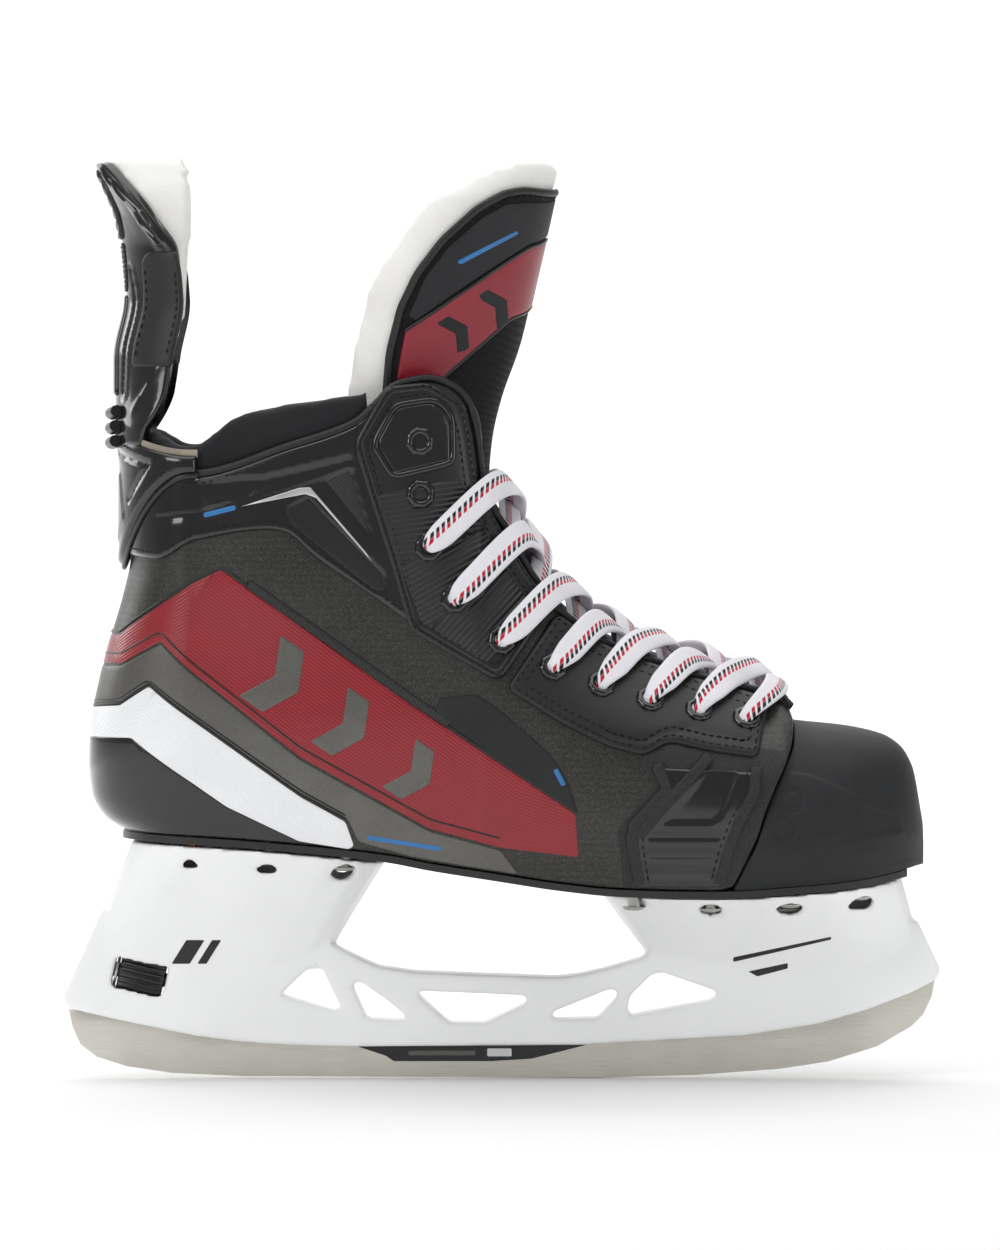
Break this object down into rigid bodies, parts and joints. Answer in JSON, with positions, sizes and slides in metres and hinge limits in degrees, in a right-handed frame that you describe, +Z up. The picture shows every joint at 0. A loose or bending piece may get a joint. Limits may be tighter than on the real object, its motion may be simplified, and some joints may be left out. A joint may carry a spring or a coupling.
{
  "type": "ice hockey skate",
  "caption": "Ice skate: a stiff laced boot with padded collar, tongue and tendon guard, riveted to a truss holder that carries a removable steel runner with a thumb dial lock.",
  "frame": {"origin": "centre of the object's box at its base: the flat of the runner's edge, on the runner's middle plane", "axes": "+X towards the toe, +Y towards the inner (medial) side, +Z up"},
  "size_m": [0.2893, 0.1072, 0.303],
  "materials": {
    "shell_weave": "satin fine woven composite",
    "black_gloss": "glossy moulded",
    "black_satin": "satin",
    "black_matte": "matte, fine grain",
    "black_leather": "matte synthetic leather",
    "padding": "soft padded cloth",
    "white_felt": "thick felt",
    "lace": "woven",
    "holder_nylon": "semi-gloss nylon",
    "steel": "satin ground",
    "copper": "bright"
  },
  "bodies": {
    "boot": {"ankle_cuff": "black_satin", "boot_shell": "shell_weave", "collar_padding": "padding", "eyelet_lateral_01": "black_gloss", "eyelet_lateral_02": "black_gloss", "eyelet_lateral_03": "black_gloss", "eyelet_lateral_04": "black_gloss", "eyelet_lateral_05": "black_gloss", "eyelet_lateral_06": "black_gloss", "eyelet_lateral_07": "black_gloss", "eyelet_lateral_08": "black_gloss", "eyelet_lateral_09": "black_gloss", "eyelet_lateral_10": "black_gloss", "eyelet_medial_01": "black_gloss", "eyelet_medial_02": "black_gloss", "eyelet_medial_03": "black_gloss", "eyelet_medial_04": "black_gloss", "eyelet_medial_05": "black_gloss", "eyelet_medial_06": "black_gloss", "eyelet_medial_07": "black_gloss", "eyelet_medial_08": "black_gloss", "eyelet_medial_09": "black_gloss", "eyelet_medial_10": "black_gloss", "facing_lower_lateral": "black_leather", "facing_lower_medial": "black_leather", "facing_upper_lateral": "black_gloss", "facing_upper_medial": "black_gloss", "footbed": "padding", "holder": "holder_nylon", "lace": "lace", "lock_washer": "steel", "outsole": "black_satin", "rivet_heel_lateral_1": "copper", "rivet_heel_lateral_2": "steel", "rivet_heel_lateral_3": "steel", "rivet_heel_medial_1": "copper", "rivet_heel_medial_2": "steel", "rivet_heel_medial_3": "steel", "rivet_toe_lateral_1": "steel", "rivet_toe_lateral_2": "steel", "rivet_toe_lateral_3": "steel", "rivet_toe_lateral_4": "steel", "rivet_toe_medial_1": "steel", "rivet_toe_medial_2": "steel", "rivet_toe_medial_3": "steel", "rivet_toe_medial_4": "steel", "tendon_guard_base": "black_satin", "toe_cap": "black_matte", "tongue_lower_cover": "black_leather", "tongue_lower_felt": "white_felt", "vamp_guard_lateral": "black_gloss", "vamp_guard_medial": "black_gloss"},
    "tongue_top": {"tongue_upper_cover": "black_leather", "tongue_upper_felt": "white_felt"},
    "guard": {"tendon_guard": "black_gloss", "tendon_guard_felt": "white_felt"},
    "runner_blade": {"runner": "steel"},
    "dial": {"lock_dial": "black_satin"},
    "bolt": {"lock_bolt": "steel"}
  },
  "joints": [
    {"name": "tongue_flex", "type": "hinge", "parent": "boot", "child": "tongue_top", "pos_m": [0.0027, 0, 0.2315], "axis": [0, 1, 0], "range_deg": [0, 28], "stiffness_Nm_per_rad": 0.4},
    {"name": "guard_flex", "type": "hinge", "parent": "boot", "child": "guard", "pos_m": [-0.1275, 0, 0.2136], "axis": [0, -1, 0], "range_deg": [0, 22], "stiffness_Nm_per_rad": 1.5},
    {"name": "runner_drop", "type": "hinge", "parent": "boot", "child": "runner_blade", "pos_m": [0.1432, 0, 0.033], "axis": [0, -1, 0], "range_deg": [0, 6]},
    {"name": "dial_turn", "type": "hinge", "parent": "boot", "child": "dial", "pos_m": [-0.119, 0, 0.034], "axis": [0.9744, 0, -0.225], "range_deg": [0, 540]},
    {"name": "bolt_slide", "type": "slide", "parent": "boot", "child": "bolt", "axis": [0.9744, 0, -0.225], "range_m": [0, 0.003]}
  ],
  "couplings": [
    {"joint": "dial_turn", "follows": "bolt_slide", "rad_per_m": 3141.6}
  ]
}
